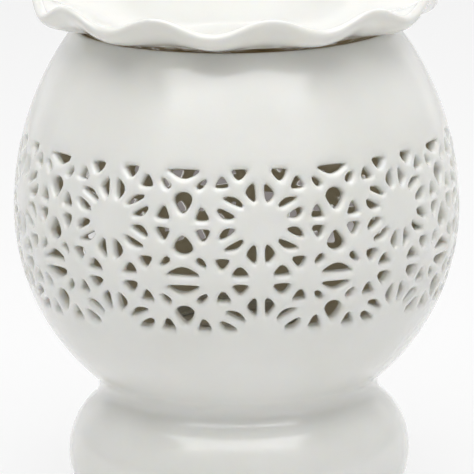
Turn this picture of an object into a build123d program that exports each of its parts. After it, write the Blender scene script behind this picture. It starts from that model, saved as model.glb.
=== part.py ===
from build123d import *
import math
import os

# An oil burner: a pierced ceramic globe on a foot ring, with a loose fluted oil dish on its mouth
# and a tealight on its floor.
# Millimetres. The origin is the middle of the foot's underside, +Z is up, and the front is -Y.

# Globe: its lower half is part of a ball, and its upper half a wider arc whose centre lies
# beyond the axis, so the shoulder is fuller than a ball's
globe_radius = 60.0
shoulder_arc_radius = 80.5
globe_wall = 3.3
mouth_radius = 43.1
lip_round_radius = 1.5
floor_over_neck_height = 4.0
floor_thickness = 4.0
floor_round_radius = 3.0

# Foot ring: one arc that bulges out below the neck, hollow underneath, in one piece with the globe
neck_radius = 34.0
neck_height = 30.5
foot_overhang_width = 12.2
foot_widest_height = 12.8
foot_wall = 3.6
foot_edge_radius = 0.8
neck_round_radius = 5.0

# Star lattice: rows of twelve-petalled flowers round the globe, repeated in columns. The whole
# row that faces the viewer has its middles a little above the equator.
column_count = 9
flower_over_equator_height = 7.4
row_pitch = 30.7
front_turn = 6.1

# Oil dish: a shallow bowl with soft flutes that deepen towards the rim. Its base lies the depth
# under the lip, and its rim the rim height over it. The sizes are those of a lobe, and between
# the lobes the rim lies higher by the wave height. The higher the growth power, the closer the
# flutes keep to the rim.
dish_base_radius = 22.0
dish_depth = 7.0
dish_overhang_width = 11.0
dish_rim_height = 4.7
dish_wall = 3.0
dish_lobes = 11
dish_turn = -6.4
rim_wave_height = 4.3
flute_growth_power = 4
seat_slope = 20.0
rim_slope = 62.0
seat_gap = 0.3
dish_tangent_share = 0.9
dish_steps = 5
ring_points_per_lobe = 6

# Tealight: a drawn aluminium cup with wax, and a wick in a punched metal holder
cup_radius = 19.2
cup_height = 16.0
cup_wall = 0.4
cup_bead_radius = 0.5
wax_height = 11.2
wax_gap = 0.1
holder_radius = 7.5
holder_thickness = 0.4
holder_neck_radius = 1.5
holder_neck_height = 4.0
wick_radius = 0.8
wick_free_length = 4.2
rest_gap = 0.3

# One run past a face, for every cut
overrun = 1.0

# The openings of one quarter of a flower's cell. The first number of each corner is a share of
# half a column's width, from the flower's middle, and the second a share of half the row pitch.
opening_shares = {
    "spoke": [(0.057, 0.678), (0.105, 0.671), (0.179, 0.560), (0.179, 0.495), (0.110, 0.378), (0.060, 0.365)],
    "upper_petal": [(0.213, 0.296), (0.282, 0.410), (0.344, 0.453), (0.463, 0.456), (0.468, 0.414),
                    (0.253, 0.270)],
    "lower_petal": [(0.310, 0.101), (0.396, 0.192), (0.516, 0.270), (0.552, 0.228), (0.497, 0.107),
                    (0.425, 0.075)],
    "crown": [(0.158, 0.925), (0.363, 0.925), (0.358, 0.866), (0.296, 0.743), (0.239, 0.743), (0.165, 0.866)],
    "arrow": [(0.401, 0.606), (0.578, 0.606), (0.573, 0.664), (0.521, 0.795), (0.473, 0.795), (0.411, 0.664)],
    "drop": [(0.688, 0.749), (0.740, 0.756), (0.812, 0.690), (0.831, 0.632), (0.793, 0.580), (0.735, 0.619)],
    "keel": [(0.664, 0.075), (0.840, 0.075), (0.831, 0.130), (0.778, 0.280), (0.731, 0.287), (0.673, 0.143)],
}
# These two lie across the line between two flowers, so each is there once for both
middle_opening_shares = {
    "kite": [(0.864, 0.397), (0.893, 0.482), (0.955, 0.534), (1.045, 0.534), (1.107, 0.482),
             (1.136, 0.397), (1.031, 0.189), (0.969, 0.189)],
    "bow": [(0.793, 0.918), (1.207, 0.918), (1.184, 0.866), (1.050, 0.769), (0.950, 0.769), (0.816, 0.866)],
}

half_column = 180.0 / column_count
half_row = row_pitch / 2
shoulder_overreach = shoulder_arc_radius - globe_radius
foot_radius = neck_radius + foot_overhang_width
dish_rim_radius = mouth_radius + dish_overhang_width
equator_height = neck_height + math.sqrt(globe_radius**2 - neck_radius**2)
mouth_height = equator_height + math.sqrt(shoulder_arc_radius**2 - (mouth_radius + shoulder_overreach) ** 2)
flower_height = equator_height + flower_over_equator_height
band_bottom = flower_height - row_pitch
band_top = flower_height + half_row
floor_height = neck_height + floor_over_neck_height
ceiling_height = floor_height - floor_thickness


def globe_outline(height, inset=0.0):
    """The globe's radius at a height, or that of the surface that lies the inset inside it."""
    rise = height - equator_height
    if rise > 0:
        return math.sqrt((shoulder_arc_radius - inset) ** 2 - rise**2) - shoulder_overreach
    return math.sqrt((globe_radius - inset) ** 2 - rise**2)


def globe_arc(start, end, inset=0.0):
    """The globe's outline between two heights on one side of the equator."""
    middle = (start + end) / 2
    points = [(globe_outline(height, inset), height) for height in (start, middle, end)]
    return ThreePointArc(*points)


def foot_outline(height):
    """The foot's radius at a height, on the arc that is widest where the foot is, and ends at the neck."""
    bulge = foot_radius - neck_radius
    arc_radius = (bulge**2 + (neck_height - foot_widest_height) ** 2) / (2 * bulge)
    return foot_radius - arc_radius + math.sqrt(arc_radius**2 - (height - foot_widest_height) ** 2)


def corner(face, radius, height):
    """The corner of an upright section that lies nearest to a radius and height."""
    return face.vertices().sort_by_distance((radius, 0, height))[0]


def upright_section(edges):
    """A face in the XZ plane from edges drawn as radius and height."""
    return Plane.XZ * make_face(edges)


def shoulder():
    """The plain wall above the lattice, up to the rounded lip of the mouth."""
    inner_low = globe_outline(band_top, globe_wall)
    inner_high = globe_outline(mouth_height, globe_wall)
    outer_low = globe_outline(band_top)
    outer_high = globe_outline(mouth_height)
    section = upright_section([
        globe_arc(band_top, mouth_height),
        Line((outer_high, mouth_height), (inner_high, mouth_height)),
        globe_arc(mouth_height, band_top, globe_wall),
        Line((inner_low, band_top), (outer_low, band_top)),
    ])
    lip_corners = [corner(section, outer_high, mouth_height), corner(section, inner_high, mouth_height)]
    return revolve(fillet(lip_corners, lip_round_radius), Axis.Z)


def base():
    """The bowl below the lattice with its flat floor, and the hollow foot ring under it."""
    floor_edge = globe_outline(floor_height, globe_wall)
    band_edge = globe_outline(band_bottom, globe_wall)
    foot_edge = foot_outline(0)
    hollow_edge = foot_edge - foot_wall
    hollow_radius = foot_radius - foot_wall
    ceiling_edge = neck_radius - foot_wall
    section = upright_section([
        globe_arc(band_bottom, neck_height),
        ThreePointArc((neck_radius, neck_height), (foot_radius, foot_widest_height), (foot_edge, 0)),
        Line((foot_edge, 0), (hollow_edge, 0)),
        ThreePointArc((hollow_edge, 0), (hollow_radius, foot_widest_height), (ceiling_edge, ceiling_height)),
        Line((ceiling_edge, ceiling_height), (0, ceiling_height)),
        Line((0, ceiling_height), (0, floor_height)),
        Line((0, floor_height), (floor_edge, floor_height)),
        globe_arc(floor_height, band_bottom, globe_wall),
        Line((band_edge, band_bottom), (globe_outline(band_bottom), band_bottom)),
    ])
    section = fillet([corner(section, neck_radius, neck_height)], neck_round_radius)
    section = fillet([corner(section, floor_edge, floor_height)], floor_round_radius)
    foot_corners = [corner(section, foot_edge, 0), corner(section, hollow_edge, 0)]
    section = fillet(foot_corners, foot_edge_radius)
    return revolve(section, Axis.Z)


def wall_point(turn, height):
    """A point in the middle of the globe's wall. The turn is in degrees from the first flower."""
    radius = globe_outline(height, globe_wall / 2)
    angle = math.radians(turn)
    return Vector(radius * math.cos(angle), radius * math.sin(angle), height)


def wall_plane(turn, height):
    """A plane that lies on the middle of the wall there, with its normal straight out of the wall."""
    angle = math.radians(turn)
    outward = Vector(math.cos(angle), math.sin(angle), 0)
    across = Vector(-math.sin(angle), math.cos(angle), 0)
    rise = height - equator_height
    overreach = shoulder_overreach if rise > 0 else 0
    point = wall_point(turn, height)
    normal = point + outward * overreach - Vector(0, 0, equator_height)
    return Plane(origin=point, x_dir=across, z_dir=normal)


def opening(corner_shares, middle_turn, middle_height, side, up):
    """One opening's cutter: a prism through the wall, square to it, with flat sides."""
    places = [(middle_turn + side * across * half_column, middle_height + up * rise * half_row)
              for across, rise in corner_shares]
    count = len(places)
    plane = wall_plane(sum(turn for turn, _ in places) / count, sum(height for _, height in places) / count)
    corners = [plane.to_local_coords(wall_point(turn, height)) for turn, height in places]
    outline = make_face(Polyline(*[(point.X, point.Y) for point in corners], close=True))
    return extrude(plane * outline, amount=globe_wall / 2 + overrun, both=True)


def lattice_column():
    """One column of the band, from the middle of one flower to the middle of the next."""
    inner_low = globe_outline(band_bottom, globe_wall)
    inner_high = globe_outline(band_top, globe_wall)
    section = upright_section([
        globe_arc(band_bottom, equator_height),
        globe_arc(equator_height, band_top),
        Line((globe_outline(band_top), band_top), (inner_high, band_top)),
        globe_arc(band_top, equator_height, globe_wall),
        globe_arc(equator_height, band_bottom, globe_wall),
        Line((inner_low, band_bottom), (globe_outline(band_bottom), band_bottom)),
    ])
    cutters = []
    for row_middle, up in ((flower_height, 1), (flower_height, -1), (band_bottom, 1)):
        for corner_shares in opening_shares.values():
            cutters.append(opening(corner_shares, 0, row_middle, 1, up))
            cutters.append(opening(corner_shares, 2 * half_column, row_middle, -1, up))
        for corner_shares in middle_opening_shares.values():
            cutters.append(opening(corner_shares, 0, row_middle, 1, up))
    return revolve(section, Axis.Z, 2 * half_column).cut(*cutters)


def burner_body():
    """The fired ceramic piece: shoulder, pierced band, bowl and foot."""
    first_column = Rot(0, 0, front_turn - 90) * lattice_column()
    columns = [Rot(0, 0, 2 * half_column * index) * first_column for index in range(column_count)]
    return base().fuse(shoulder(), *columns)


def lip_contact():
    """Where the dish's underside passes the inner rounding of the lip, one seat gap off it."""
    inner_arc_radius = shoulder_arc_radius - globe_wall
    centre_height = mouth_height - lip_round_radius
    rise = centre_height - equator_height
    centre_radius = math.sqrt((inner_arc_radius + lip_round_radius) ** 2 - rise**2) - shoulder_overreach
    slope = math.radians(seat_slope)
    reach = lip_round_radius + seat_gap
    return centre_radius - reach * math.sin(slope), centre_height + reach * math.cos(slope)


def bend(start, start_slope, end, end_slope, share):
    """A point and slope on a smooth bend between two points with the given slopes, in degrees."""
    span = math.dist(start, end) * dish_tangent_share
    pulls = [(span * math.cos(math.radians(slope)), span * math.sin(math.radians(slope)))
             for slope in (start_slope, end_slope)]
    t = share
    place = []
    speed = []
    for axis in (0, 1):
        p0, p1, m0, m1 = start[axis], end[axis], pulls[0][axis], pulls[1][axis]
        place.append((2 * t**3 - 3 * t**2 + 1) * p0 + (t**3 - 2 * t**2 + t) * m0
                     + (3 * t**2 - 2 * t**3) * p1 + (t**3 - t**2) * m1)
        speed.append((6 * t**2 - 6 * t) * (p0 - p1) + (3 * t**2 - 4 * t + 1) * m0 + (3 * t**2 - 2 * t) * m1)
    return place, math.atan2(speed[1], speed[0])


def dish_underside():
    """Places and slopes along the dish's underside, from the base past the lip to the rim."""
    base_corner = (dish_base_radius, mouth_height - dish_depth)
    rim = (dish_rim_radius, mouth_height + dish_rim_height)
    shares = [step / dish_steps for step in range(dish_steps)]
    below = [bend(base_corner, 0, lip_contact(), seat_slope, share) for share in shares]
    above = [bend(lip_contact(), seat_slope, rim, rim_slope, share) for share in shares + [1]]
    return below + above


def dish_section():
    """The dish's wall in section, from the base out under it, round the rim and back inside."""
    underside = dish_underside()
    inside = [((r - dish_wall * math.sin(slope), z + dish_wall * math.cos(slope)), slope)
              for (r, z), slope in underside]
    (rim_r, rim_z), rim_tilt = underside[-1]
    half_wall = dish_wall / 2
    middle = (rim_r - half_wall * math.sin(rim_tilt), rim_z + half_wall * math.cos(rim_tilt))
    rounding = []
    for quarter in (1, 2, 3):
        angle = rim_tilt + math.radians(45 * quarter - 90)
        rounding.append((middle[0] + half_wall * math.cos(angle), middle[1] + half_wall * math.sin(angle)))
    return [place for place, _ in underside] + rounding + [place for place, _ in reversed(inside)]


def dish_ring(radius, height):
    """One closed ring of the dish's skin, waved more the further out it lies."""
    share = max(0, (radius - dish_base_radius) / (dish_rim_radius - dish_base_radius)) ** flute_growth_power
    points = []
    for index in range(dish_lobes * ring_points_per_lobe):
        turn = 360 * index / (dish_lobes * ring_points_per_lobe)
        wave = share * (1 - math.cos(math.radians(dish_lobes * turn))) / 2
        angle = math.radians(turn + dish_turn - 90)
        points.append((radius * math.cos(angle), radius * math.sin(angle), height + rim_wave_height * wave))
    return Wire([Spline(*points, periodic=True)])


def oil_dish():
    """The loose dish: bands from ring to ring, closed by its flat base and its flat floor."""
    return Solid.make_loft([dish_ring(radius, height) for radius, height in dish_section()], ruled=True)


def disc(radius, low, high):
    return Pos(0, 0, low) * Cylinder(radius, high - low, align=(Align.CENTER, Align.CENTER, Align.MIN))


cup_bottom = floor_height + rest_gap
wax_bottom = cup_bottom + cup_wall
wax_top = wax_bottom + wax_height
holder_top = wax_bottom + holder_thickness


def tealight_cup():
    """The drawn cup, with the rolled bead round its rim."""
    cup_top = cup_bottom + cup_height
    shell = disc(cup_radius, cup_bottom, cup_top) - disc(cup_radius - cup_wall, wax_bottom, cup_top + overrun)
    bead = Pos(0, 0, cup_top) * Torus(cup_radius, cup_bead_radius)
    return shell + bead


def tealight_wax():
    """The cast wax, with the hollow that the wick and its holder fill."""
    wax = disc(cup_radius - cup_wall - wax_gap, wax_bottom, wax_top)
    plate_hollow = disc(holder_radius + wax_gap, wax_bottom - overrun, holder_top)
    neck_hollow = disc(holder_neck_radius + wax_gap, wax_bottom, holder_top + holder_neck_height)
    wick_hollow = disc(wick_radius + wax_gap, wax_bottom, wax_top + overrun)
    return wax - plate_hollow - neck_hollow - wick_hollow


def wick_holder():
    """The punched plate that keeps the wick upright."""
    plate = disc(holder_radius, wax_bottom, holder_top)
    neck = disc(holder_neck_radius, wax_bottom, holder_top + holder_neck_height)
    bore = disc(wick_radius + wax_gap, holder_top, holder_top + holder_neck_height + overrun)
    return plate + neck - bore


def wick():
    return disc(wick_radius, holder_top, wax_top + wick_free_length)


nodes = {
    "burner_body": burner_body(),
    "oil_dish": oil_dish(),
    "tealight_cup": tealight_cup(),
    "tealight_wax": tealight_wax(),
    "wick_holder": wick_holder(),
    "wick": wick(),
}

os.makedirs("parts", exist_ok=True)
for name, shape in nodes.items():
    export_step(shape, "parts/" + name + ".step")
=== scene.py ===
import bpy
import bmesh
import math
import random
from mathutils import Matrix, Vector
from mathutils.geometry import delaunay_2d_cdt
import numpy as np


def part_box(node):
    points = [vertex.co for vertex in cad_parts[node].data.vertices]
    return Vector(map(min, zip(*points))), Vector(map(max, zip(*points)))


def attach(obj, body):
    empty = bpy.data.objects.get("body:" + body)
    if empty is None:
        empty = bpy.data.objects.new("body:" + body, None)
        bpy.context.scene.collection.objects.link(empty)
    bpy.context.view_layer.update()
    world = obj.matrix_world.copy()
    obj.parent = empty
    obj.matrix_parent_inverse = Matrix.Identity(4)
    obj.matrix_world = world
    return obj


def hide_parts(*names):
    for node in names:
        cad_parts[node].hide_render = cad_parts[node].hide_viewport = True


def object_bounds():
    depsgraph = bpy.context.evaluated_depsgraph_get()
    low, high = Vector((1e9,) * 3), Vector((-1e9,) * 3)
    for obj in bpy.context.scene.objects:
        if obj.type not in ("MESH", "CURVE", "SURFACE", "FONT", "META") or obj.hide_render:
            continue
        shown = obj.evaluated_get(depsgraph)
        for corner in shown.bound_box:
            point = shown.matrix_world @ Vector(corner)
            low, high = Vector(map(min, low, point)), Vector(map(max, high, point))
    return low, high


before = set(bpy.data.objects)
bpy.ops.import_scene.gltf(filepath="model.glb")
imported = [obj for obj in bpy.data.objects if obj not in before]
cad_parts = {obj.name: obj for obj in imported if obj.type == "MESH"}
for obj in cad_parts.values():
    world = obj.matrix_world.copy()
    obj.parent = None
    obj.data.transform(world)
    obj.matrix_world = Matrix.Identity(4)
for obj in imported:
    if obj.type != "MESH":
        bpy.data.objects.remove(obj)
cad_low, cad_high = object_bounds()
random.seed(7)
MM = 0.001

# Globe, with the same sizes as the part's source. Below the equator the wall is part of a ball,
# and above it a wider arc whose centre lies beyond the axis.
globe_radius = 60.0 * MM
shoulder_arc_radius = 80.5 * MM
globe_wall = 3.3 * MM
mouth_radius = 43.1 * MM
lip_round_radius = 1.5 * MM
floor_over_neck_height = 4.0 * MM
floor_thickness = 4.0 * MM
floor_round_radius = 3.0 * MM

# Foot ring
neck_radius = 34.0 * MM
neck_height = 30.5 * MM
foot_overhang_width = 12.2 * MM
foot_widest_height = 12.8 * MM
foot_wall = 3.6 * MM
foot_edge_radius = 0.8 * MM
neck_round_radius = 5.0 * MM

# Star lattice. The ribs' edges are rounded by the glaze, more outside than inside.
column_count = 9
flower_over_equator_height = 7.4 * MM
row_pitch = 30.7 * MM
front_turn = 6.1
rib_round = 1.45 * MM
inner_round = 0.5 * MM
outer_ring_offsets = (0.1 * MM, 0.34 * MM, 0.75 * MM, rib_round)
inner_ring_offsets = (inner_round,)
outline_step = 0.66 * MM
sheet_step = 1.75 * MM
least_spacing = 0.12 * MM
row_edge_width = 0.5 * MM
hand_shift = 0.22 * MM
wave_height = 14 * MM

# Oil dish, whose sizes are those of a lobe
dish_base_radius = 22.0 * MM
dish_depth = 7.0 * MM
dish_overhang_width = 11.0 * MM
dish_rim_height = 4.7 * MM
dish_wall = 3.0 * MM
dish_lobes = 11
dish_turn = -6.4
rim_wave_height = 4.3 * MM
flute_growth_power = 4
seat_slope = 20.0
rim_slope = 62.0
seat_gap = 0.3 * MM
dish_tangent_share = 0.9
dish_steps = 22
points_per_lobe = 24

# Tealight
cup_radius = 19.2 * MM
cup_height = 16.0 * MM
cup_wall = 0.4 * MM
cup_bead_radius = 0.5 * MM
wax_height = 11.2 * MM
wax_gap = 0.1 * MM
wick_radius = 0.8 * MM
holder_thickness = 0.4 * MM
rest_gap = 0.3 * MM
cup_corner_radius = 1.2 * MM
cup_creases = 72
crease_depth = 0.09 * MM
holder_neck_radius = 1.5 * MM
wax_edge_cut = 1.0 * MM
wax_dip = 0.35 * MM
wick_lean = 0.12 * MM
wick_levels = 44
wick_sides = 18

# Corners of the openings in a quarter of a flower's cell, as shares of half a column and half a row
opening_shares = {
    "spoke": [(0.057, 0.678), (0.105, 0.671), (0.179, 0.560), (0.179, 0.495), (0.110, 0.378), (0.060, 0.365)],
    "upper_petal": [(0.213, 0.296), (0.282, 0.410), (0.344, 0.453), (0.463, 0.456), (0.468, 0.414),
                    (0.253, 0.270)],
    "lower_petal": [(0.310, 0.101), (0.396, 0.192), (0.516, 0.270), (0.552, 0.228), (0.497, 0.107),
                    (0.425, 0.075)],
    "crown": [(0.158, 0.925), (0.363, 0.925), (0.358, 0.866), (0.296, 0.743), (0.239, 0.743), (0.165, 0.866)],
    "arrow": [(0.401, 0.606), (0.578, 0.606), (0.573, 0.664), (0.521, 0.795), (0.473, 0.795), (0.411, 0.664)],
    "drop": [(0.688, 0.749), (0.740, 0.756), (0.812, 0.690), (0.831, 0.632), (0.793, 0.580), (0.735, 0.619)],
    "keel": [(0.664, 0.075), (0.840, 0.075), (0.831, 0.130), (0.778, 0.280), (0.731, 0.287), (0.673, 0.143)],
}
middle_opening_shares = {
    "kite": [(0.864, 0.397), (0.893, 0.482), (0.955, 0.534), (1.045, 0.534), (1.107, 0.482),
             (1.136, 0.397), (1.031, 0.189), (0.969, 0.189)],
    "bow": [(0.793, 0.918), (1.207, 0.918), (1.184, 0.866), (1.050, 0.769), (0.950, 0.769), (0.816, 0.866)],
}

# Places that follow from the sizes
half_column = math.radians(180.0 / column_count)
half_row = row_pitch / 2
shoulder_overreach = shoulder_arc_radius - globe_radius
foot_radius = neck_radius + foot_overhang_width
dish_rim_radius = mouth_radius + dish_overhang_width
equator_height = neck_height + math.sqrt(globe_radius**2 - neck_radius**2)
shoulder_rise = math.sqrt(shoulder_arc_radius**2 - (mouth_radius + shoulder_overreach) ** 2)
mouth_height = equator_height + shoulder_rise
flower_height = equator_height + flower_over_equator_height
band_bottom = flower_height - row_pitch
band_top = flower_height + half_row
floor_height = neck_height + floor_over_neck_height
ceiling_height = floor_height - floor_thickness
foot_arc_rise = neck_height - foot_widest_height
foot_arc_radius = (foot_overhang_width**2 + foot_arc_rise**2) / (2 * foot_overhang_width)
foot_arc_middle = foot_radius - foot_arc_radius
cell_width = 2 * half_column * globe_radius
cells_across = round(cell_width / sheet_step)
cells_upward = round(half_row / sheet_step)
turned_count = column_count * cells_across
cup_bottom = floor_height + rest_gap
cup_top = cup_bottom + cup_height
wax_bottom = cup_bottom + cup_wall
wax_top = wax_bottom + wax_height

OUTSIDE, INSIDE, BARE = 0, 1, 2


class Skin:
    """The points and faces of one piece, with a material number for each face."""

    def __init__(self):
        self.points = []
        self.faces = []
        self.kinds = []

    def add(self, points, faces, kind):
        first = len(self.points)
        self.points += points
        self.faces += [tuple(first + number for number in face) for face in faces]
        self.kinds += [kind] * len(faces)

    def piece(self, name, materials, slot, body, *nodes):
        """Welds the points that meet, turns every face outwards and gives the finished object."""
        mesh = bpy.data.meshes.new(name)
        mesh.from_pydata(self.points, [], self.faces)
        mesh.polygons.foreach_set("material_index", self.kinds)
        shape = bmesh.new()
        shape.from_mesh(mesh)
        bmesh.ops.remove_doubles(shape, verts=shape.verts, dist=0.002 * MM)
        bmesh.ops.recalc_face_normals(shape, faces=shape.faces)
        for face in shape.faces:
            face.smooth = True
        shape.to_mesh(mesh)
        shape.free()
        for material in materials:
            mesh.materials.append(material)
        obj = bpy.data.objects.new(name, mesh)
        bpy.context.scene.collection.objects.link(obj)
        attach(obj, body)
        if nodes:
            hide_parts(*nodes)
        return obj


def around(radius, height, turn):
    """The point at a radius, height and turn in radians from the first flower, right of the front."""
    angle = turn + math.radians(front_turn - 90)
    return (radius * math.cos(angle), radius * math.sin(angle), height)


def turned(profile, place=around, count=turned_count):
    """Rings of places in section, turned round the axis and joined. A place on the axis is one point."""
    points = []
    rings = []
    for radius, height in profile:
        if radius < 1e-7:
            rings.append([len(points)] * count)
            points.append(place(0, height, 0))
        else:
            rings.append(list(range(len(points), len(points) + count)))
            points += [place(radius, height, 2 * math.pi * index / count) for index in range(count)]
    faces = []
    for low, high in zip(rings, rings[1:]):
        for index in range(count):
            other = (index + 1) % count
            corners = [low[index], low[other], high[other], high[index]]
            faces.append(tuple(dict.fromkeys(corners)))
    return points, faces


def bow(middle, radius, start, end, count):
    """Places along part of a circle in section, from one angle to another in radians."""
    angles = [start + (end - start) * index / count for index in range(count + 1)]
    return [(middle[0] + radius * math.cos(angle), middle[1] + radius * math.sin(angle)) for angle in angles]


def towards(start, end):
    """The angle in section from one place to another."""
    return math.atan2(end[1] - start[1], end[0] - start[0])


def run(start, end, count):
    """Places along a straight line in section, without its two ends."""
    shares = [index / count for index in range(1, count)]
    return [(start[0] + (end[0] - start[0]) * t, start[1] + (end[1] - start[1]) * t) for t in shares]


def globe_place(height, inset=0.0):
    """Radius and height of the globe's outside at a height, moved straight into the wall by the inset."""
    rise = height - equator_height
    overreach = shoulder_overreach if rise > 0 else 0.0
    arc = globe_radius + overreach
    out = math.sqrt(arc**2 - rise**2)
    return out * (1 - inset / arc) - overreach, equator_height + rise * (1 - inset / arc)


def polygon_area(points):
    return 0.5 * sum(a[0] * b[1] - b[0] * a[1] for a, b in zip(points, points[1:] + points[:1]))


def soft_outline(corners):
    """The corners joined by one smooth closed line of the same area, with evenly spaced points."""
    line = list(corners)
    for _ in range(3):
        line = [(a[0] + (b[0] - a[0]) * t, a[1] + (b[1] - a[1]) * t)
                for a, b in zip(line, line[1:] + line[:1]) for t in (0.25, 0.75)]
    grow = math.sqrt(polygon_area(corners) / polygon_area(line))
    middle = [sum(p[i] for p in line) / len(line) for i in (0, 1)]
    line = [(middle[0] + (p[0] - middle[0]) * grow, middle[1] + (p[1] - middle[1]) * grow) for p in line]
    lengths = [math.dist(a, b) for a, b in zip(line, line[1:] + line[:1])]
    count = max(8, round(sum(lengths) / outline_step))
    points = []
    for index in range(count):
        target = sum(lengths) * index / count
        step = 0
        while target > lengths[step]:
            target -= lengths[step]
            step += 1
        a, b = line[step], line[(step + 1) % len(line)]
        t = target / lengths[step]
        points.append((a[0] + (b[0] - a[0]) * t, a[1] + (b[1] - a[1]) * t))
    return points


def cell_outlines():
    """The openings of one half row of one column, laid flat, counter-clockwise, in metres."""
    width = half_column * globe_radius
    outlines = []
    for corners in opening_shares.values():
        for mirrored in (False, True):
            flat = [((2 - x if mirrored else x) * width, y * half_row) for x, y in corners]
            outlines.append(flat if polygon_area(flat) > 0 else flat[::-1])
    for corners in middle_opening_shares.values():
        flat = [(x * width, y * half_row) for x, y in corners]
        outlines.append(flat if polygon_area(flat) > 0 else flat[::-1])
    return [soft_outline(flat) for flat in outlines]


def gap_to(outlines, points):
    """How far each point lies from the nearest opening's edge."""
    best = np.full(len(points), np.inf)
    points = np.array(points)
    for outline in outlines:
        a = np.array(outline)
        b = np.roll(a, -1, axis=0)
        way = b - a
        off = points[:, None, :] - a[None]
        t = np.clip((off * way).sum(2) / (way**2).sum(1), 0, 1)
        near = off - t[..., None] * way
        best = np.minimum(best, np.sqrt((near**2).sum(2)).min(1))
    return best


def inside(outline, point):
    x, y = point
    odd = False
    for a, b in zip(outline, outline[1:] + outline[:1]):
        if (a[1] > y) != (b[1] > y) and x < (b[0] - a[0]) * (y - a[1]) / (b[1] - a[1]) + a[0]:
            odd = not odd
    return odd


def flat_sheet(outlines, ring_offsets):
    """Triangles of the flat cell round its openings. It returns points, triangles and the point numbers
    of each opening."""
    points = [(cell_width * index / cells_across, 0.0) for index in range(cells_across)]
    points += [(cell_width, half_row * index / cells_upward) for index in range(cells_upward)]
    points += [(cell_width * index / cells_across, half_row) for index in range(cells_across, 0, -1)]
    points += [(0.0, half_row * index / cells_upward) for index in range(cells_upward, 0, -1)]
    edges = [(i, (i + 1) % len(points)) for i in range(len(points))]
    loops = []
    for outline in outlines:
        first = len(points)
        points += outline
        loops.append(list(range(first, len(points))))
        edges += [(first + i, first + (i + 1) % len(outline)) for i in range(len(outline))]

    def to_border(place):
        return min(place[0], cell_width - place[0], place[1], half_row - place[1])

    extra = []
    for offset in ring_offsets:
        ring = []
        for outline in outlines:
            for before, here, after in zip(outline[-1:] + outline[:-1], outline, outline[1:] + outline[:1]):
                tangent = Vector((after[0] - before[0], after[1] - before[1])).normalized()
                ring.append((here[0] + tangent.y * offset, here[1] - tangent.x * offset))
        extra += [place for place, gap in zip(ring, gap_to(outlines, ring))
                  if gap > offset - 0.02 * MM and to_border(place) > 0.3 * outline_step]
    grid = [(cell_width * column / (2 * cells_across), half_row * row / (2 * cells_upward))
            for row in range(1, 2 * cells_upward) for column in range(1, 2 * cells_across)
            if (row + column) % 2 == 0]
    far = max(ring_offsets) + 0.45 * sheet_step
    extra += [place for place, gap in zip(grid, gap_to(outlines, grid))
              if gap > far and to_border(place) > 0.4 * sheet_step]
    kept = []
    for place in extra:
        if all((place[0] - q[0]) ** 2 + (place[1] - q[1]) ** 2 > least_spacing**2 for q in kept[-400:]):
            kept.append(place)
    points += kept
    result = delaunay_2d_cdt([Vector(p) for p in points], edges, [], 0, 1e-9)
    triangles = []
    for face in result[2]:
        numbers = [result[3][i][0] for i in face]
        middle = [sum(points[i][k] for i in numbers) / 3 for k in (0, 1)]
        if not any(inside(outline, middle) for outline in outlines):
            triangles.append(numbers)
    return points, triangles, loops


def band_waves():
    """Random waves round the globe: how many go round it, how fast they climb, and where they start."""
    return [(random.choice((7, 11, 16, 23)), random.uniform(-1, 1) * 2 * math.pi / wave_height,
             random.uniform(0, 2 * math.pi)) for _ in range(5)]


waves_across = band_waves()
waves_upward = band_waves()


def hand_cut(turn, height):
    """A small drift of the cutting, so that no two openings are quite alike. It dies out at the band's
    edges."""
    share = (height - band_bottom) / (band_top - band_bottom)
    size = hand_shift * min(1.0, 8 * max(0.0, min(share, 1 - share))) / math.sqrt(len(waves_across))
    across = sum(math.sin(count * turn + climb * height + phase) for count, climb, phase in waves_across)
    upward = sum(math.sin(count * turn + climb * height + phase) for count, climb, phase in waves_upward)
    return turn + size * across / globe_radius, height + size * upward


def lattice(skin):
    """The pierced band: an outer and an inner sheet, joined by the walls of every opening. The rounding
    of the ribs dies out at the edges of each half row, where the sheets meet others."""
    outlines = cell_outlines()
    outer = flat_sheet(outlines, outer_ring_offsets)
    inner = flat_sheet(outlines, inner_ring_offsets)
    wall_middle = (rib_round + globe_wall - inner_round) / 2
    levels = (rib_round, wall_middle, globe_wall - inner_round)
    depths = []
    for (points, _, _), rounding in ((outer, rib_round), (inner, inner_round)):
        reach = np.clip(1 - gap_to(outlines, points) / rounding, 0, 1)
        upward = np.array(points)[:, 1]
        level = np.clip(np.minimum(upward, half_row - upward) / row_edge_width, 0, 1)
        depths.append(level * rounding * (1 - np.sqrt(1 - reach**2)))
    for column in range(column_count):
        for row_middle, up in ((flower_height, 1), (flower_height, -1), (band_bottom, 1)):

            def placed(point, inset):
                turn = point[0] / globe_radius + 2 * half_column * column
                turn, height = hand_cut(turn, row_middle + up * point[1])
                return around(*globe_place(height, inset), turn)

            skin.add([placed(p, d) for p, d in zip(outer[0], depths[0])], outer[1], OUTSIDE)
            skin.add([placed(p, globe_wall - d) for p, d in zip(inner[0], depths[1])], inner[1], INSIDE)
            for loop in outer[2]:
                count = len(loop)
                ring = [outer[0][number] for number in loop]
                points = [placed(p, level) for level in levels for p in ring]
                faces = [(k * count + i, k * count + (i + 1) % count, (k + 1) * count + (i + 1) % count,
                          (k + 1) * count + i) for k in range(len(levels) - 1) for i in range(count)]
                skin.add(points, faces, OUTSIDE)


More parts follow.
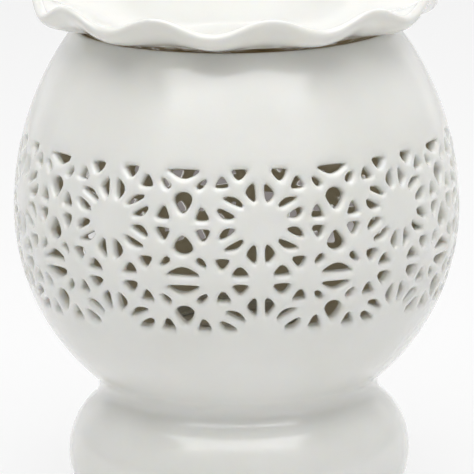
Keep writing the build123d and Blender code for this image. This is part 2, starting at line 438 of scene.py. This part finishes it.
def shoulder_profile():
    """From the band's top up the outside, round the lip and down the inside to the band's top again."""
    middle = (-shoulder_overreach, equator_height)
    lip_height = mouth_height - lip_round_radius
    rise = lip_height - equator_height
    reaches = (shoulder_arc_radius - lip_round_radius, shoulder_arc_radius - globe_wall + lip_round_radius)
    lips = [(math.sqrt(reach**2 - rise**2) - shoulder_overreach, lip_height) for reach in reaches]
    start = math.asin((band_top - equator_height) / shoulder_arc_radius)
    inner_place = globe_place(band_top, globe_wall)
    inner_start = towards(middle, inner_place)
    outer = bow(middle, shoulder_arc_radius, start, towards(middle, lips[0]), 20)
    outer_lip = bow(lips[0], lip_round_radius, towards(middle, lips[0]), math.pi / 2, 7)
    inner_lip = bow(lips[1], lip_round_radius, math.pi / 2, towards(middle, lips[1]) + math.pi, 9)
    inner = bow(middle, shoulder_arc_radius - globe_wall, towards(middle, lips[1]), inner_start, 12)
    return outer + outer_lip[1:] + inner_lip, inner


def circle_through(a, b, c):
    """Middle and radius of the circle through three places in section."""
    d = 2 * (a[0] * (b[1] - c[1]) + b[0] * (c[1] - a[1]) + c[0] * (a[1] - b[1]))
    squares = [p[0] ** 2 + p[1] ** 2 for p in (a, b, c)]
    x = (squares[0] * (b[1] - c[1]) + squares[1] * (c[1] - a[1]) + squares[2] * (a[1] - b[1])) / d
    y = (squares[0] * (c[0] - b[0]) + squares[1] * (a[0] - c[0]) + squares[2] * (b[0] - a[0])) / d
    return (x, y), math.dist((x, y), a)


def neck_round_middle():
    """The middle of the rounding between globe and foot, found where its two offset circles cross."""
    a, reach_a = (0.0, equator_height), globe_radius + neck_round_radius
    b, reach_b = (foot_arc_middle, foot_widest_height), foot_arc_radius + neck_round_radius
    apart = math.dist(a, b)
    along = (reach_a**2 - reach_b**2 + apart**2) / (2 * apart)
    aside = math.sqrt(reach_a**2 - along**2)
    way_out, way_up = (b[0] - a[0]) / apart, (b[1] - a[1]) / apart
    on_line = (a[0] + way_out * along, a[1] + way_up * along)
    return max((on_line[0] - side * way_up * aside, on_line[1] + side * way_out * aside) for side in (1, -1))


def foot_profiles():
    """The outside from the band's bottom to the table, the flat that stands on it, and the hollow
    underneath."""
    globe_middle = (0.0, equator_height)
    foot_middle = (foot_arc_middle, foot_widest_height)
    neck = neck_round_middle()
    outside = bow(globe_middle, globe_radius, math.asin((band_bottom - equator_height) / globe_radius),
                  towards(globe_middle, neck), 15)
    outside += bow(neck, neck_round_radius, towards(neck, globe_middle),
                   towards(neck, foot_middle) + 2 * math.pi, 8)[1:]
    edge_out = foot_arc_middle + math.sqrt((foot_arc_radius - foot_edge_radius) ** 2
                                           - (foot_edge_radius - foot_widest_height) ** 2)
    outer_edge = (edge_out, foot_edge_radius)
    outside += bow(foot_middle, foot_arc_radius, towards(foot_middle, neck),
                   towards(foot_middle, outer_edge), 22)[1:]
    outside += bow(outer_edge, foot_edge_radius, towards(foot_middle, outer_edge), -math.pi / 2, 5)[1:]
    foot_edge = foot_arc_middle + math.sqrt(foot_arc_radius**2 - foot_widest_height**2)
    hollow_places = ((foot_edge - foot_wall, 0), (foot_radius - foot_wall, foot_widest_height),
                     (neck_radius - foot_wall, ceiling_height))
    hollow_middle, hollow_reach = circle_through(*hollow_places)
    edge_in = hollow_middle[0] + math.sqrt((hollow_reach + foot_edge_radius) ** 2
                                           - (foot_edge_radius - hollow_middle[1]) ** 2)
    inner_edge = (edge_in, foot_edge_radius)
    flat = [(edge_out, 0.0)] + run((edge_out, 0), (edge_in, 0), 3) + [(edge_in, 0.0)]
    hollow = bow(inner_edge, foot_edge_radius, -math.pi / 2,
                 towards(inner_edge, hollow_middle) - 2 * math.pi, 5)
    hollow += bow(hollow_middle, hollow_reach, towards(hollow_middle, inner_edge),
                  towards(hollow_middle, hollow_places[2]), 14)[1:]
    ceiling_edge = (hollow_places[2][0] - 0.3 * MM, ceiling_height)
    hollow += [ceiling_edge] + run(ceiling_edge, (0, ceiling_height), 5) + [(0.0, ceiling_height)]
    return outside, flat, hollow


def floor_profile():
    """The inside of the bowl, from the band's bottom down to the middle of the floor."""
    middle = (0.0, equator_height)
    inner_reach = globe_radius - globe_wall
    round_height = floor_height + floor_round_radius
    round_out = math.sqrt((inner_reach - floor_round_radius) ** 2 - (round_height - equator_height) ** 2)
    rounding = (round_out, round_height)
    start = towards(middle, globe_place(band_bottom, globe_wall))
    profile = bow(middle, inner_reach, start, towards(middle, rounding), 12)
    profile += bow(rounding, floor_round_radius, towards(middle, rounding), -math.pi / 2, 6)[1:]
    return profile + run((round_out, floor_height), (0, floor_height), 5) + [(0.0, floor_height)]


def pierced_globe(glaze, inner_clay, bare_clay):
    """The fired piece, from the foot ring to the lip."""
    skin = Skin()
    lattice(skin)
    shoulder_outside, shoulder_inside = shoulder_profile()
    outside, flat, hollow = foot_profiles()
    for profile, kind in ((shoulder_outside, OUTSIDE), (shoulder_inside, INSIDE), (outside, OUTSIDE),
                          (flat, BARE), (hollow, OUTSIDE), (floor_profile(), INSIDE)):
        skin.add(*turned(profile), kind)
    return skin.piece("pierced_globe", [glaze, inner_clay, bare_clay], "body_glaze", "burner", "burner_body")


def lip_contact():
    """Where the dish's underside passes the inner rounding of the lip."""
    centre_height = mouth_height - lip_round_radius
    reach = shoulder_arc_radius - globe_wall + lip_round_radius
    centre_radius = math.sqrt(reach**2 - (centre_height - equator_height) ** 2) - shoulder_overreach
    slope = math.radians(seat_slope)
    off = lip_round_radius + seat_gap
    return centre_radius - off * math.sin(slope), centre_height + off * math.cos(slope)


def bend(start, start_slope, end, end_slope, t):
    """A place and slope on a smooth bend between two places with the given slopes, in degrees."""
    span = math.dist(start, end) * dish_tangent_share
    place = []
    speed = []
    for axis, pull in ((0, math.cos), (1, math.sin)):
        p0, p1 = start[axis], end[axis]
        m0, m1 = (span * pull(math.radians(slope)) for slope in (start_slope, end_slope))
        place.append((2 * t**3 - 3 * t**2 + 1) * p0 + (t**3 - 2 * t**2 + t) * m0
                     + (3 * t**2 - 2 * t**3) * p1 + (t**3 - t**2) * m1)
        speed.append((6 * t**2 - 6 * t) * (p0 - p1) + (3 * t**2 - 4 * t + 1) * m0 + (3 * t**2 - 2 * t) * m1)
    return place, math.atan2(speed[1], speed[0])


def dish_profile():
    """The dish's wall in section: under the base, out to the rim, round it, and back over the floor."""
    base_corner = (dish_base_radius, mouth_height - dish_depth)
    rim = (dish_rim_radius, mouth_height + dish_rim_height)
    shares = [step / dish_steps for step in range(dish_steps + 1)]
    under = [bend(base_corner, 0, lip_contact(), seat_slope, share) for share in shares[:-1]]
    under += [bend(lip_contact(), seat_slope, rim, rim_slope, share) for share in shares]
    (rim_r, rim_z), tilt = under[-1]
    middle = (rim_r - dish_wall / 2 * math.sin(tilt), rim_z + dish_wall / 2 * math.cos(tilt))
    rounding = bow(middle, dish_wall / 2, tilt - math.pi / 2, tilt + math.pi / 2, 12)[1:-1]
    over = [(r - dish_wall * math.sin(slope), z + dish_wall * math.cos(slope))
            for (r, z), slope in reversed(under)]
    base = [(0.0, base_corner[1])] + run((0, base_corner[1]), base_corner, 10)
    floor_middle = (0.0, over[-1][1])
    floor = run(over[-1], floor_middle, 10) + [floor_middle]
    return base + [tuple(place) for place, _ in under] + rounding + over + floor


def dish_place(radius, height, turn):
    """The point of the dish at a place of its section, waved more the further out it lies."""
    share = max(0.0, (radius - dish_base_radius) / (dish_rim_radius - dish_base_radius)) ** flute_growth_power
    wave = share * (1 - math.cos(dish_lobes * turn)) / 2
    angle = turn + math.radians(dish_turn - 90)
    rise = min(height + rim_wave_height * wave, cad_high.z)
    return (radius * math.cos(angle), radius * math.sin(angle), rise)


def fluted_dish(glaze):
    skin = Skin()
    skin.add(*turned(dish_profile(), dish_place, dish_lobes * points_per_lobe), OUTSIDE)
    return skin.piece("fluted_dish", [glaze], "dish_glaze", "dish", "oil_dish")


def creased(radius, height, turn):
    """The cup's wall is pressed from foil, with fine upright creases that fade at its bottom and rim."""
    share = (height - cup_bottom) / cup_height
    fade = max(0.0, min(1.0, 6 * share, 6 * (0.93 - share))) if radius > 0.9 * cup_radius else 0.0
    out = radius - crease_depth * fade * (1 + math.cos(cup_creases * turn)) / 2
    return (out * math.cos(turn), out * math.sin(turn), height)


def plain(radius, height, turn):
    return (radius * math.cos(turn), radius * math.sin(turn), height)


def candle_cup(foil):
    """The drawn cup with its rounded bottom edge and its rolled bead."""
    corner = cup_corner_radius
    bottom = (cup_radius - corner, cup_bottom + corner)
    profile = [(0.0, cup_bottom)] + run((0, cup_bottom), (bottom[0], cup_bottom), 5)
    profile += bow(bottom, corner, -math.pi / 2, 0, 5)
    profile += run((cup_radius, bottom[1]), (cup_radius, cup_top - cup_bead_radius), 9)
    profile += bow((cup_radius, cup_top), cup_bead_radius, -math.pi / 2, 1.18 * math.pi, 14)
    inner = cup_radius - cup_wall
    profile += run((inner, cup_top - cup_bead_radius), (inner, wax_bottom + corner), 9)
    profile += bow((inner - corner, wax_bottom + corner), corner, 0, -math.pi / 2, 5)
    profile += run((inner - corner, wax_bottom), (0, wax_bottom), 5) + [(0.0, wax_bottom)]
    skin = Skin()
    skin.add(*turned(profile, creased, 4 * cup_creases), OUTSIDE)
    return skin.piece("candle_cup", [foil], "cup_foil", "tealight", "tealight_cup")


def candle_wax(wax):
    """The cast wax, drawn up a little at the foil and dished round the wick."""
    holder_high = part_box("wick_holder")[1]
    plate = holder_high.x + wax_gap
    plate_top = wax_bottom + holder_thickness
    neck_top = holder_high.z
    neck = holder_neck_radius + wax_gap
    bore = wick_radius + wax_gap
    edge = cup_radius - cup_wall - wax_gap
    profile = [(plate, wax_bottom), (edge - wax_edge_cut, wax_bottom), (edge, wax_bottom + wax_edge_cut)]
    profile += run(profile[-1], (edge, wax_top), 5) + [(edge, wax_top)]
    for index in range(1, 15):
        share = index / 15
        radius = edge + (bore - edge) * share
        fall = wax_dip * (1 - math.exp(-9 * share)) + 0.3 * wax_dip * math.exp(-((1 - share) * 7) ** 2)
        profile.append((radius, wax_top - fall))
    profile += [(bore, wax_top - 1.2 * wax_dip), (bore, neck_top), (neck, neck_top), (neck, plate_top),
                (plate, plate_top), (plate, wax_bottom)]
    skin = Skin()
    skin.add(*turned(profile, plain, 96), OUTSIDE)
    return skin.piece("candle_wax", [wax], "wax", "tealight", "tealight_wax")


def candle_wick(cotton):
    """A braided wick: three soft strands show round it, and its free end leans a little."""
    low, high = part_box("wick")
    count = wick_sides
    points = []
    for level in range(wick_levels + 1):
        share = level / wick_levels
        height = low.z + (high.z - low.z) * share
        lean = wick_lean * max(0.0, share - 0.6) / 0.4
        for index in range(count):
            angle = 2 * math.pi * index / count
            strand = abs(math.cos(1.5 * angle + 14 * share)) * abs(math.cos(1.5 * angle - 14 * share))
            radius = wick_radius * (0.86 + 0.14 * strand) * (1 - 0.25 * max(0.0, share - 0.94) / 0.06)
            points.append((radius * math.cos(angle) * 0.85 + lean, radius * math.sin(angle), height))
    faces = [(k * count + i, k * count + (i + 1) % count, (k + 1) * count + (i + 1) % count,
              (k + 1) * count + i) for k in range(wick_levels) for i in range(count)]
    faces += [tuple(range(count - 1, -1, -1)), tuple(range(wick_levels * count, (wick_levels + 1) * count))]
    skin = Skin()
    skin.add(points, faces, OUTSIDE)
    return skin.piece("candle_wick", [cotton], "wick_cotton", "tealight", "wick")


def srgb(red, green, blue):
    """A colour as it looks on screen, from 0 to 255, as the linear values that a shader takes."""
    linear = [((c / 255 + 0.055) / 1.055) ** 2.4 if c > 10 else c / 255 / 12.92 for c in (red, green, blue)]
    return (*linear, 1.0)


class Shader:
    """A material's nodes, made one by one. An input is set to a number or a colour, or joined to another
    node. An input named i with a number is the node's input of that number."""

    def __init__(self, name):
        self.material = bpy.data.materials.new(name)
        self.material.use_nodes = True
        self.tree = self.material.node_tree
        self.tree.nodes.clear()

    def node(self, kind, out=0, settings=(), **inputs):
        made = self.tree.nodes.new("ShaderNode" + kind)
        for key, value in dict(settings).items():
            setattr(made, key, value)
        for key, value in inputs.items():
            name = int(key[1:]) if key[0] == "i" and key[1:].isdigit() else key.replace("_", " ")
            if isinstance(value, bpy.types.NodeSocket):
                self.tree.links.new(value, made.inputs[name])
            else:
                made.inputs[name].default_value = value
        return made.outputs if out is None else made.outputs[out] if made.outputs else made

    def place(self):
        return self.node("TexCoord", out="Object")

    def noise(self, scale, detail=2.0, roughness=0.5, stretch=None):
        where = self.place()
        if stretch:
            where = self.node("Mapping", Vector=where, Scale=stretch)
        return self.node("TexNoise", Vector=where, Scale=scale, Detail=detail, Roughness=roughness)

    def between(self, value, low, high, start, end):
        """The value taken from one span to another, held at its ends."""
        return self.node("MapRange", Value=value, From_Min=low, From_Max=high, To_Min=start, To_Max=end)

    def times(self, first, second):
        return self.node("Math", settings={"operation": "MULTIPLY"}, i0=first, i1=second)

    def blend(self, share, first, second):
        return self.node("Mix", out=2, settings={"data_type": "RGBA"}, i0=share, i6=first, i7=second)

    def bump(self, height, distance, strength=1.0, below=None):
        """Relief of a depth, over another relief if there is one."""
        under = {} if below is None else {"Normal": below}
        return self.node("Bump", Height=height, Distance=distance, Strength=strength, **under)

    def finish(self, **inputs):
        surface = self.node("BsdfPrincipled", **inputs)
        self.node("OutputMaterial", Surface=surface)
        return self.material


def white_glaze(name, thick, thin, seat_low, seat_high):
    """Fired off-white glaze: it pools and thins a little, ripples softly, and has fine pinholes. Where
    dish and lip meet, between two heights and inside the lip's edge, a brown is painted in as painted
    shade: it stands in for the warm shade in the gap between the dish and the lip."""
    shader = Shader(name)
    drift = shader.between(shader.noise(38.0, 3.0), 0.35, 0.65, 0.0, 1.0)
    ripple = shader.noise(75.0, 1.0, 0.4)
    pits = shader.between(shader.noise(1500.0, 2.0), 0.30, 0.36, 0.0, 1.0)
    skin = shader.bump(ripple, 0.35 * MM, 0.35)
    skin = shader.bump(shader.noise(900.0, 2.0), 0.012 * MM, 0.5, skin)
    skin = shader.bump(pits, 0.03 * MM, 0.4, skin)
    split = shader.node("SeparateXYZ", out=None, Vector=shader.place())
    flat = shader.node("CombineXYZ", X=split["X"], Y=split["Y"])
    radius = shader.node("VectorMath", out="Value", settings={"operation": "LENGTH"}, i0=flat)
    # Painted shade: a brown tint where the dish and lip meet, standing in for the warm shade in the gap
    # between them.
    painted_gap_shade = shader.between(radius, mouth_radius - 0.2 * MM, mouth_radius - 1.4 * MM, 0.0, 1.0)
    painted_gap_shade = shader.times(painted_gap_shade, shader.between(radius, mouth_radius - 6 * MM, mouth_radius - 5 * MM, 0.0, 1.0))
    painted_gap_shade = shader.times(painted_gap_shade, shader.between(split["Z"], seat_low - 0.6 * MM, seat_low, 0.0, 1.0))
    painted_gap_shade = shader.times(painted_gap_shade, shader.between(split["Z"], seat_high, seat_high + 0.3 * MM, 1.0, 0.0))
    colour = shader.blend(painted_gap_shade, shader.blend(drift, thick, thin), srgb(178, 148, 98))
    rough = shader.between(drift, 0.0, 1.0, 0.06, 0.10)
    return shader.finish(Base_Color=colour, Roughness=rough, IOR=1.5, Normal=skin,
                         Subsurface_Weight=0.35, Subsurface_Radius=(1.0, 0.85, 0.65), Subsurface_Scale=3 * MM,
                         Coat_Weight=0.35, Coat_Roughness=0.03, Coat_IOR=1.5)


def inner_clay():
    """The inside, thinly glazed and warm, a little darker towards the top and in patches."""
    shader = Shader("inner_clay")
    height = shader.node("SeparateXYZ", out="Z", Vector=shader.place())
    rise = shader.between(height, floor_height, mouth_height, 0.15, 0.85)
    patch = shader.between(shader.noise(60.0, 4.0, 0.6), 0.3, 0.7, -0.25, 0.25)
    upward_tone = shader.node("Math", settings={"operation": "ADD", "use_clamp": True}, i0=rise, i1=patch)
    colour = shader.blend(upward_tone, srgb(236, 231, 216), srgb(226, 218, 198))
    skin = shader.bump(shader.noise(420.0, 4.0, 0.6), 0.12 * MM, 0.6)
    return shader.finish(Base_Color=colour, Roughness=0.5, Normal=skin)


def bare_clay():
    """The foot ring's flat, wiped free of glaze."""
    shader = Shader("bare_clay")
    grain = shader.noise(1300.0, 5.0, 0.65)
    share = shader.between(grain, 0.35, 0.65, 0.0, 1.0)
    colour = shader.blend(share, srgb(214, 200, 176), srgb(196, 180, 154))
    return shader.finish(Base_Color=colour, Roughness=0.85, Normal=shader.bump(grain, 0.06 * MM, 0.7))


def drawn_foil():
    """Thin aluminium, with the fine rings of the drawing die."""
    shader = Shader("drawn_foil")
    rings = shader.noise(260.0, 3.0, 0.6, stretch=(0.12, 0.12, 9.0))
    colour = shader.blend(rings, srgb(226, 228, 230), srgb(204, 206, 210))
    rough = shader.between(rings, 0.3, 0.7, 0.22, 0.36)
    return shader.finish(Base_Color=colour, Metallic=1.0, Roughness=rough,
                         Normal=shader.bump(rings, 0.02 * MM, 0.6))


def candle_white():
    """Paraffin wax, a little cloudy."""
    shader = Shader("candle_white")
    cloud = shader.noise(120.0, 4.0, 0.6)
    colour = shader.blend(shader.between(cloud, 0.3, 0.7, 0.0, 1.0), srgb(240, 237, 226), srgb(228, 224, 210))
    return shader.finish(Base_Color=colour, Roughness=0.42, Subsurface_Weight=0.35,
                         Subsurface_Radius=(0.006, 0.005, 0.004), Subsurface_Scale=1.0,
                         Normal=shader.bump(cloud, 0.08 * MM, 0.4))


def waxed_cotton():
    """The wick's waxed yarn."""
    shader = Shader("waxed_cotton")
    yarn = shader.noise(2600.0, 3.0, 0.6, stretch=(1.0, 1.0, 0.35))
    colour = shader.blend(yarn, srgb(236, 230, 212), srgb(206, 198, 176))
    return shader.finish(Base_Color=colour, Roughness=0.7, Normal=shader.bump(yarn, 0.06 * MM, 0.8))


def tinned_steel():
    """Tinplate with a faint spangle."""
    shader = Shader("tinned_steel")
    spangle = shader.noise(700.0, 4.0, 0.6)
    colour = shader.blend(spangle, srgb(190, 190, 188), srgb(160, 160, 160))
    rough = shader.between(spangle, 0.3, 0.7, 0.28, 0.45)
    return shader.finish(Base_Color=colour, Metallic=1.0, Roughness=rough,
                         Normal=shader.bump(spangle, 0.02 * MM, 0.5))


def dress(obj, material):
    """Gives a carried-over node its finish."""
    obj.data.materials.clear()
    obj.data.materials.append(material)


body_glaze = white_glaze("body_glaze", srgb(236, 236, 231), srgb(240, 240, 236), mouth_height - 2 * MM,
                         mouth_height)
dish_glaze = white_glaze("dish_glaze", srgb(231, 231, 226), srgb(235, 235, 231), mouth_height - 4 * MM,
                         lip_contact()[1] + 0.5 * MM)
pierced_globe(body_glaze, inner_clay(), bare_clay())
fluted_dish(dish_glaze)
candle_cup(drawn_foil())
candle_wax(candle_white())
candle_wick(waxed_cotton())
dress(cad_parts["wick_holder"], tinned_steel())


# The camera stands well back, a little above the burner, as the photograph was taken. Its place
# is measured from the equator, and its lens from the picture's width of 474 pixels.
camera_distance = 1.424
camera_over_equator = 0.308
camera_pitch = 12.55
camera_roll = 0.63
photo_width = 474
focal_pixels = 5407
sensor_width = 36.0


# The room's brightness in three parts of its sky, and how brightly the floor itself shows
front_light = 0.07
upper_light = 0.08
cove_light = 0.95
glow_strength = 0.738
floor_reach = 12.0

# The lamps, with their power in watts
front_power = 10.9
overhead_power = 26.8
left_power = 7.5
right_power = 9.0
chamber_power = 0.0038
chamber_lamp_radius = 12 * MM
chamber_lamp_rise = 12 * MM
side_box = {"distance": 1.3, "width": 1.7, "height": 2.0, "fade": (0.4, 0.4, 0.4)}


def place_camera():
    data = bpy.data.cameras.new("camera")
    data.sensor_width = sensor_width
    data.lens = focal_pixels / photo_width * sensor_width
    data.clip_start = 0.05
    data.clip_end = 50
    camera = bpy.data.objects.new("camera", data)
    bpy.context.scene.collection.objects.link(camera)
    camera.location = (0, -camera_distance, equator_height + camera_over_equator)
    camera.rotation_mode = "XYZ"
    camera.rotation_euler = (math.radians(90 - camera_pitch), 0, 0)
    camera.rotation_euler.rotate_axis("Z", math.radians(-camera_roll))
    bpy.context.scene.camera = camera


def softbox(name, power, direction, elevation, distance, width, height, fade):
    """A soft light that faces the burner and fades towards its edges. The direction is in degrees from
    the front, to the right. The fades are shares of its width, of its height below and of its height
    above."""
    data = bpy.data.lights.new(name, "AREA")
    data.shape = "RECTANGLE"
    data.size = width
    data.size_y = height
    data.energy = power
    data.use_nodes = True
    tree = data.node_tree
    tree.nodes.clear()

    def math_node(operation, first, second):
        made = tree.nodes.new("ShaderNodeMath")
        made.operation = operation
        made.use_clamp = operation == "DIVIDE"
        for socket, value in zip(made.inputs, (first, second)):
            if isinstance(value, float):
                socket.default_value = value
            else:
                tree.links.new(value, socket)
        return made.outputs[0]

    where = tree.nodes.new("ShaderNodeNewGeometry").outputs["Parametric"]
    split = tree.nodes.new("ShaderNodeSeparateXYZ")
    tree.links.new(where, split.inputs[0])
    across, upward = split.outputs["X"], split.outputs["Y"]
    at_side, below, above = fade
    strength = math_node("DIVIDE", across, at_side)
    for edge in (math_node("DIVIDE", math_node("SUBTRACT", 1.0, across), at_side),
                 math_node("DIVIDE", upward, below),
                 math_node("DIVIDE", math_node("SUBTRACT", 1.0, upward), above)):
        strength = math_node("MULTIPLY", strength, edge)
    glow = tree.nodes.new("ShaderNodeEmission")
    tree.links.new(strength, glow.inputs["Strength"])
    output = tree.nodes.new("ShaderNodeOutputLight")
    tree.links.new(glow.outputs[0], output.inputs[0])
    light = bpy.data.objects.new(name, data)
    bpy.context.scene.collection.objects.link(light)
    aim = Vector((0, 0, equator_height))
    angle, rise = math.radians(direction - 90), math.radians(elevation)
    way = Vector((math.cos(angle) * math.cos(rise), math.sin(angle) * math.cos(rise), math.sin(rise)))
    light.location = aim + distance * way
    light.rotation_mode = "QUATERNION"
    light.rotation_quaternion = way.to_track_quat("Z", "Y")


def chamber_glow():
    """A faint warm light in the chamber, for what the pale walls throw to and fro."""
    data = bpy.data.lights.new("chamber_glow", "POINT")
    data.energy = chamber_power
    data.shadow_soft_size = chamber_lamp_radius
    data.color = (1.0, 0.93, 0.78)
    light = bpy.data.objects.new("chamber_glow", data)
    bpy.context.scene.collection.objects.link(light)
    light.location = (0, 0, equator_height + chamber_lamp_rise)
    light.visible_camera = False
    light.visible_glossy = False


def studio_world():
    """A dim room in front of the burner, open light above it, and a low white cove behind it."""
    world = bpy.data.worlds.new("studio")
    world.use_nodes = True
    bpy.context.scene.world = world
    tree = world.node_tree
    tree.nodes.clear()
    make = tree.nodes.new
    link = tree.links.new
    where = make("ShaderNodeTexCoord")
    split = make("ShaderNodeSeparateXYZ")
    link(where.outputs["Generated"], split.inputs[0])

    def between(axis, low, high, start, end):
        made = make("ShaderNodeMapRange")
        link(split.outputs[axis], made.inputs["Value"])
        for name, value in (("From Min", low), ("From Max", high), ("To Min", start), ("To Max", end)):
            made.inputs[name].default_value = value
        return made.outputs[0]

    cove = make("ShaderNodeMath")
    cove.operation = "MULTIPLY"
    link(between("Y", 0.62, 0.82, 0.0, 1.0), cove.inputs[0])
    link(between("Z", 0.52, 0.70, 1.0, 0.0), cove.inputs[1])
    strength = make("ShaderNodeMix")
    link(cove.outputs[0], strength.inputs[0])
    link(between("Z", 0.25, 0.75, front_light, upper_light), strength.inputs[2])
    strength.inputs[3].default_value = cove_light
    background = make("ShaderNodeBackground")
    link(strength.outputs[0], background.inputs["Strength"])
    background.inputs["Color"].default_value = (1.0, 1.0, 1.0, 1.0)
    output = make("ShaderNodeOutputWorld")
    link(background.outputs[0], output.inputs[0])


def floor():
    """A pale floor that takes the burner's shadow, and shows as near white from the camera and in the
    glaze. A soft grey patch behind the burner, glowing for the camera, is a painted shadow that its openings
    look through to."""
    mesh = bpy.data.meshes.new("floor")
    corners = [(floor_reach * x, floor_reach * y, 0) for x, y in ((-1, -1), (1, -1), (1, 1), (-1, 1))]
    mesh.from_pydata(corners, [], [(0, 1, 2, 3)])
    obj = bpy.data.objects.new("floor", mesh)
    bpy.context.scene.collection.objects.link(obj)
    shader = Shader("pale_floor")
    path = shader.node("LightPath", out=None)
    lit = shader.node("BsdfDiffuse", Color=(0.78, 0.78, 0.78, 1.0))
    seen = shader.node("BsdfDiffuse", Color=(0.22, 0.22, 0.22, 1.0))
    glow = shader.node("Emission", Color=(1.0, 1.0, 1.0, 1.0), Strength=glow_strength)
    open_floor = shader.node("AddShader", i0=seen, i1=glow)
    # Painted shadow: a soft grey patch glowing on the floor behind the burner, seen through the openings.
    painted_shadow_patch = shader.node("Emission", Color=srgb(133, 128, 127), Strength=1.0)
    where = shader.node("Mapping", Vector=shader.place(), Location=(0.0, -2.6, 0.0), Scale=(16.0, 6.2, 0.0))
    reach = shader.node("VectorMath", out="Value", settings={"operation": "LENGTH"}, i0=where)
    shown = shader.node("MixShader", i0=shader.between(reach, 0.75, 1.1, 0.0, 1.0), i1=painted_shadow_patch, i2=open_floor)
    mirrored = shader.node("MixShader", i0=path["Is Glossy Ray"], i1=lit, i2=open_floor)
    mixed = shader.node("MixShader", i0=path["Is Camera Ray"], i1=mirrored, i2=shown)
    shader.node("OutputMaterial", Surface=mixed)
    mesh.materials.append(shader.material)


place_camera()
studio_world()
floor()
softbox("front", front_power, direction=0, elevation=33, distance=1.4, width=3.6, height=1.15,
        fade=(0.2, 0.9, 0.02))
softbox("overhead", overhead_power, direction=2, elevation=72, distance=1.2, width=1.9, height=1.5,
        fade=(0.12, 0.28, 0.1))
softbox("left", left_power, direction=-118, elevation=25, **side_box)
softbox("right", right_power, direction=118, elevation=25, **side_box)
chamber_glow()
bpy.context.scene.view_settings.view_transform = "Standard"
